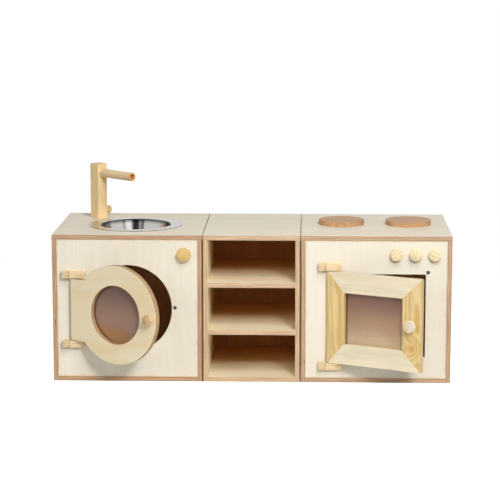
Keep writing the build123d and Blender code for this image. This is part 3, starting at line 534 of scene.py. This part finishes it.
def dress_small_parts():
    for name, pith in (("left_hob_disc", (90 * MM, 40 * MM)), ("right_hob_disc", (-70 * MM, 55 * MM))):
        dress_wood(name, (X, Y, Z), HOB_BEECH, 5.0 * MM, pith, 113.0 + pith[0] / MM, end=HOB_END)
    for name in ("hinge_plugs", "dowels"):
        dress(name, wood(name, (ORIGIN, Y, X, Z), RAMIN, 3.4 * MM, (15 * MM, 9 * MM), 109.0))
    bowl = half_size("sink_bowl")
    dress("sink_bowl", steel("sink_bowl", middle("sink_bowl"), BOWL_STEEL, 0.10, 0.20, 1500.0,
                             top=bowl.z, rim=bowl.x))
    for name, tint in (
        ("catch_screws", SCREW_STEEL),
        ("hinge_pins", PIN_STEEL),
        ("washer_door_strike", PIN_STEEL),
        ("oven_door_strike", PIN_STEEL),
    ):
        dress(name, steel(name, ORIGIN, tint, 0.28, 0.42, 2600.0))
    for name in ("washer_catch_magnet", "oven_catch_magnet"):
        dress(name, ferrite(name))


WHITE = (1.0, 1.0, 1.0, 1.0)
FLOOR_HALF = 60.0
FLOOR_DROP = -0.3 * MM
FLOOR_NEAR = (srgb(216, 216, 215), srgb(221, 221, 220))
FLOOR_FAR = srgb(160, 160, 159)
FLOOR_GLOW = 0.88


def make_floor():
    """A wide pale floor that fades to white away from the object and keeps its soft shadow."""
    mesh = bpy.data.meshes.new("floor")
    corners = ((-1, -1), (1, -1), (1, 1), (-1, 1))
    points = [(x * FLOOR_HALF, y * FLOOR_HALF, FLOOR_DROP) for x, y in corners]
    mesh.from_pydata(points, [], [(0, 1, 2, 3)])
    floor = bpy.data.objects.new("floor", mesh)
    bpy.context.scene.collection.objects.link(floor)
    s = Shader("floor")
    path = s.add("ShaderNodeLightPath").outputs
    seen = s.math("MAXIMUM", path["Is Camera Ray"], path["Is Glossy Ray"])
    seen = s.math("MAXIMUM", seen, path["Is Transmission Ray"])
    reach = s.add("ShaderNodeVectorMath", {0: s.position}, operation="LENGTH").outputs["Value"]
    grain = s.noise(s.xyz(), (40.0, 40.0, 40.0), detail=3.0)
    colour = s.mix(s.step(reach, 0.75, 1.5), s.mix(grain, *FLOOR_NEAR), FLOOR_FAR)
    paper = s.add("ShaderNodeBsdfDiffuse", {"Color": colour})
    glow = s.add("ShaderNodeEmission", {"Color": WHITE, "Strength": s.scaled(seen, FLOOR_GLOW)})
    near = s.add("ShaderNodeAddShader", {0: paper.outputs[0], 1: glow.outputs[0]})
    white = s.add("ShaderNodeEmission", {"Color": WHITE, "Strength": 1.0})
    far = s.times(s.step(reach, 1.0, 2.2), seen)
    both = s.add("ShaderNodeMixShader", {0: far, 1: near.outputs[0], 2: white.outputs[0]})
    s.put(s.tree.nodes["Material Output"].inputs["Surface"], both.outputs[0])
    s.tree.nodes.remove(s.surface)
    mesh.materials.append(s.material)


FILL = 0.17
BACK_FILL = 0.4
ZENITH = (0.06, 0.06, 0.06, 1.0)
# Mirrored panels by azimuth in degrees, 0 in front of the object, with their brightness.
PANELS = ((-98, 0.75), (-30, 0.85), (-26, 0.04), (-21, 0.04), (-18, 0.5), (-10, 0.5), (-6, 0.02),
          (18, 0.02), (23, 1.35), (46, 1.3), (49, 0.05), (52, 0.05), (56, 0.9), (108, 0.8))
LOW_RING = (((-180, 0.85), (-158, 0.85), (-150, 0.1), (-108, 0.03)) + PANELS
            + ((114, 0.03), (150, 0.1), (158, 0.85), (180, 0.85)))
HIGH_RING = (((-180, 0.7), (-150, 0.6), (-122, 0.45), (-108, 0.1)) + PANELS
             + ((112, 0.1), (122, 0.45), (150, 0.6), (180, 0.7)))


def make_world():
    """White behind the object, an even dim light, and a studio of bright panels for what mirrors it."""
    world = bpy.data.worlds.new("studio")
    world.use_nodes = True
    s = Nodes(world.node_tree)
    path = s.add("ShaderNodeLightPath").outputs
    direction = s.add("ShaderNodeTexCoord").outputs["Generated"]
    aim = s.add("ShaderNodeSeparateXYZ", {0: direction}).outputs
    turn = s.scaled(s.math("ARCTAN2", aim["X"], s.times(aim["Y"], -1.0)), 0.5 / pi, 0.5)

    def ring(stops):
        panels = s.add("ShaderNodeValToRGB", {0: turn})
        elements = panels.color_ramp.elements
        for azimuth, value in stops:
            elements.new(azimuth / 360 + 0.5).color = (value, value, value, 1.0)
        elements.remove(elements[0])
        elements.remove(elements[-1])
        return panels.outputs[0]

    rise = s.step(aim["Z"], 0.2, 0.36, curve="LINEAR")
    crown = s.step(aim["Z"], 0.75, 0.95, curve="LINEAR")
    walls = s.mix(rise, ring(LOW_RING), ring(HIGH_RING))
    mirrored = s.mix(crown, walls, ZENITH)
    seen = s.math("MAXIMUM", path["Is Camera Ray"], path["Is Transmission Ray"])
    dim = s.step(aim["Y"], 0.0, 0.7, FILL, BACK_FILL, curve="LINEAR")
    whole = s.mix(path["Is Glossy Ray"], s.math("MAXIMUM", seen, dim), mirrored)
    s.put(s.tree.nodes["Background"].inputs["Color"], whole)
    bpy.context.scene.world = world


def make_lamp(name, place, target, size, power):
    lamp = bpy.data.lights.new(name, "AREA")
    lamp.shape = "RECTANGLE"
    lamp.size, lamp.size_y = size
    lamp.energy = power
    holder = bpy.data.objects.new(name, lamp)
    holder.location = place
    holder.visible_glossy = False
    holder.rotation_euler = (Vector(target) - Vector(place)).to_track_quat("-Z", "Y").to_euler()
    bpy.context.scene.collection.objects.link(holder)


SENSOR_WIDTH = 36.0
PHOTO_PIXELS = 500
FOCAL_PIXELS = 1897.1
CAMERA_PLACE = (0.1711, -5.7908, 1.3252)
CAMERA_TILT = 0.1642
CAMERA_TURN = 0.0315


def make_camera():
    """The camera that was fitted to the photograph."""
    data = bpy.data.cameras.new("camera")
    data.sensor_width = SENSOR_WIDTH
    data.lens = FOCAL_PIXELS * SENSOR_WIDTH / PHOTO_PIXELS
    camera = bpy.data.objects.new("camera", data)
    camera.location = CAMERA_PLACE
    camera.rotation_euler = (pi / 2 - CAMERA_TILT, 0.0, CAMERA_TURN)
    bpy.context.scene.collection.objects.link(camera)
    bpy.context.scene.camera = camera


dress_cabinets()
dress_washer_door()
dress_oven_door()
dress_knobs_and_hinges()
dress_dials()
dress_tap()
dress_small_parts()

make_floor()
make_world()
make_lamp("key", (1.0, -3.15, 2.05), (0.0, -0.2, 0.25), (0.6, 0.55), 59.5)
make_lamp("over", (0.7, -2.1, 2.75), (-0.1, -0.1, 0.3), (1.4, 0.9), 37.0)
make_lamp("side", (3.2, -1.0, 1.35), (0.0, -0.1, 0.25), (0.8, 0.8), 5.0)
make_lamp("rear", (-0.4, 3.6, 1.5), (0.0, 0.2, 0.25), (2.4, 1.6), 26.0)
make_lamp("left", (-2.6, -3.2, 1.5), (0.0, -0.2, 0.25), (1.6, 1.6), 22.0)
make_camera()
bpy.context.scene.view_settings.view_transform = "Standard"
